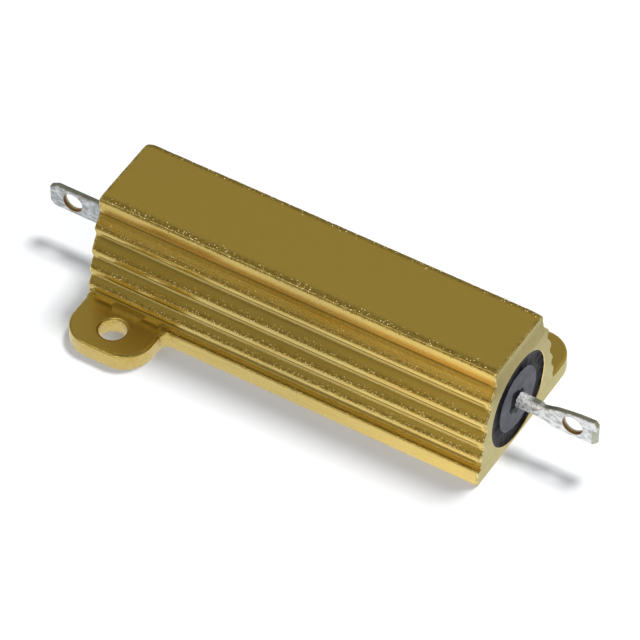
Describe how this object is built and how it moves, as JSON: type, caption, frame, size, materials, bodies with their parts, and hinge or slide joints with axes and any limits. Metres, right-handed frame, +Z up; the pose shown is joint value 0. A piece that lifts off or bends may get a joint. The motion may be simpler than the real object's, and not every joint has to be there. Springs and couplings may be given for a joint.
{
  "type": "aluminium housed wirewound resistor",
  "caption": "Chassis-mount wirewound power resistor: gold anodised ribbed aluminium housing with bolting tabs in opposite corners, sealed round element and tinned eye terminals.",
  "frame": {"origin": "midway between the two mounting holes, on the mounting face", "axes": "+X along the body towards the terminal_right end, +Y across the body, +Z up from the mounting face"},
  "size_m": [0.0698, 0.0282, 0.0149],
  "materials": {
    "gold_anodised": "gold anodised over a satin etched surface, slightly pitted along the rib edges",
    "silicone_moulding": "matt blue-grey silicone moulding",
    "black_sealant": "glossy black",
    "tinned_terminal": "bright tin with a wrinkled, handled surface",
    "cap_steel": "plain pressed steel",
    "core_ceramic": "unglazed white",
    "resistance_wire": "dull drawn alloy wire"
  },
  "bodies": {
    "root": {"housing": "gold_anodised", "moulded_body": "silicone_moulding", "end_seal_left": "black_sealant", "end_seal_right": "black_sealant", "terminal_left": "tinned_terminal", "terminal_right": "tinned_terminal", "end_cap_left": "cap_steel", "end_cap_right": "cap_steel", "ceramic_core": "core_ceramic", "resistance_winding": "resistance_wire"}
  },
  "joints": []
}
